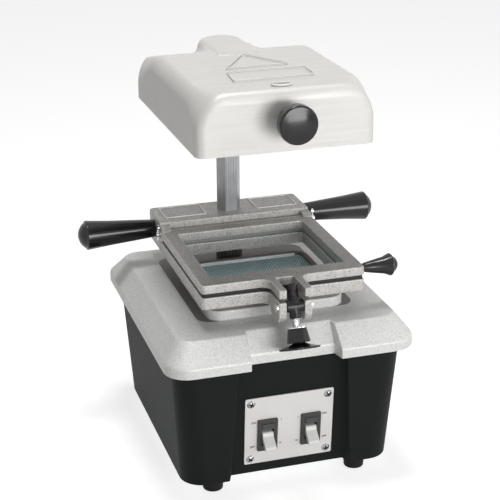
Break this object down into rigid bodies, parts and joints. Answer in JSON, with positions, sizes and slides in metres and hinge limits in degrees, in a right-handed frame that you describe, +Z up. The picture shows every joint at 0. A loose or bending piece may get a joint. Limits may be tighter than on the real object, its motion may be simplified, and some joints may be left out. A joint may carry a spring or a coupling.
{
  "type": "dental vacuum former",
  "caption": "Bench thermoforming machine: vacuum base, hinged frames that slide on a hexagonal post, swing clamp and swivelling heater hood",
  "frame": {"origin": "middle of the four feet, on the surface that the machine stands on", "axes": "+Z up, -Y towards the operator (the front with the switches), +X to the operator's right"},
  "size_m": [0.2796, 0.2648, 0.343],
  "materials": {
    "textured_black": "fine-textured black",
    "plate_zinc": "zinc plated steel",
    "hammertone_silver": "silver hammertone enamel",
    "platen_blue": "blue-grey perforated sheet",
    "seal_grey": "dark grey silicone rubber",
    "black_rubber": "matte black rubber",
    "bright_steel": "bright plated",
    "post_steel": "drawn hexagonal bar",
    "dark_steel": "blackened steel",
    "black_plastic": "matte black",
    "gloss_black": "glossy black phenolic",
    "raw_casting": "raw cast, speckled",
    "satin_casting": "satin light grey casting",
    "bronze": "sintered bronze",
    "reflector_sheet": "bright rolled sheet",
    "element_sheath": "heat-darkened steel sheath",
    "ceramic": "unglazed ceramic",
    "switch_white": "off-white enamel",
    "switch_shell": "dark brown-black plastic",
    "paddle_white": "white plastic",
    "blower_grey": "grey enamel",
    "motor_dark": "black enamel"
  },
  "bodies": {
    "base": {"tub": "textured_black", "bottom_plate": "plate_zinc", "cord_gland": "black_plastic", "cover": "hammertone_silver", "platen": "platen_blue", "platen_seal": "seal_grey", "foot_1": "black_rubber", "foot_2": "black_rubber", "foot_3": "black_rubber", "foot_4": "black_rubber", "foot_screw_1": "bright_steel", "foot_screw_2": "bright_steel", "foot_screw_3": "bright_steel", "foot_screw_4": "bright_steel", "cover_screw_1": "bright_steel", "cover_screw_2": "bright_steel", "cover_screw_3": "bright_steel", "cover_screw_4": "bright_steel", "blower_gasket": "black_rubber", "blower_housing": "blower_grey", "blower_motor": "motor_dark", "post": "post_steel", "post_washer": "plate_zinc", "post_nut": "plate_zinc", "stop_collar": "black_plastic", "switch_plate": "switch_white", "plate_screw_1": "bright_steel", "plate_screw_2": "bright_steel", "plate_screw_3": "bright_steel", "plate_screw_4": "bright_steel", "vacuum_switch_body": "switch_shell", "heat_switch_body": "switch_shell"},
    "carriage": {"slide_block": "raw_casting", "lower_frame": "raw_casting", "left_handle": "gloss_black", "right_handle": "gloss_black", "hinge_rod": "bright_steel", "hinge_clip_left": "bright_steel", "hinge_clip_right": "bright_steel", "block_screw_1": "bright_steel", "block_screw_2": "bright_steel", "clamp_pin": "bright_steel"},
    "upper": {"upper_frame": "raw_casting", "frame_gasket": "black_rubber", "lift_knob": "gloss_black"},
    "clamp_bolt": {"swing_bolt": "dark_steel"},
    "washer": {"clamp_washer": "bright_steel"},
    "knob": {"clamp_knob": "gloss_black"},
    "heater": {"heater_hood": "satin_casting", "heater_bushing": "bronze", "reflector": "reflector_sheet", "heater_element": "element_sheath", "insulator_1": "ceramic", "insulator_2": "ceramic", "heater_knob": "gloss_black", "hood_set_screw": "bright_steel"},
    "vacuum_lever": {"vacuum_paddle": "paddle_white"},
    "heat_lever": {"heat_paddle": "paddle_white"}
  },
  "joints": [
    {"name": "carriage_lift", "type": "slide", "parent": "base", "child": "carriage", "axis": [0, 0, 1], "range_m": [-0.0064, 0.095]},
    {"name": "frame_open", "type": "hinge", "parent": "carriage", "child": "upper", "pos_m": [0, 0.048, 0.1805], "axis": [1, 0, 0], "range_deg": [-38, 0]},
    {"name": "clamp_swing", "type": "hinge", "parent": "carriage", "child": "clamp_bolt", "pos_m": [0, -0.113, 0.168], "axis": [-1, 0, 0], "range_deg": [0, 155.78]},
    {"name": "knob_travel", "type": "slide", "parent": "clamp_bolt", "child": "washer", "axis": [0, -0.4102, -0.912], "range_m": [-0.0005, 0.005]},
    {"name": "knob_turn", "type": "hinge", "parent": "washer", "child": "knob", "pos_m": [0, -0.113, 0.168], "axis": [0, -0.4102, -0.912], "range_deg": [-144.3, 1440.3]},
    {"name": "heater_swing", "type": "hinge", "parent": "base", "child": "heater", "pos_m": [0, 0.073, 0.3], "axis": [0, 0, 1], "range_deg": [-110, 110]},
    {"name": "vacuum_rocker", "type": "hinge", "parent": "base", "child": "vacuum_lever", "pos_m": [-0.019, -0.09973, 0.0486], "axis": [-1, 0, 0], "range_deg": [0, 68]},
    {"name": "heat_rocker", "type": "hinge", "parent": "base", "child": "heat_lever", "pos_m": [0.019, -0.09973, 0.0486], "axis": [-1, 0, 0], "range_deg": [0, 68]}
  ],
  "couplings": [
    {"joint": "knob_turn", "follows": "knob_travel", "rad_per_m": 5026.5}
  ]
}
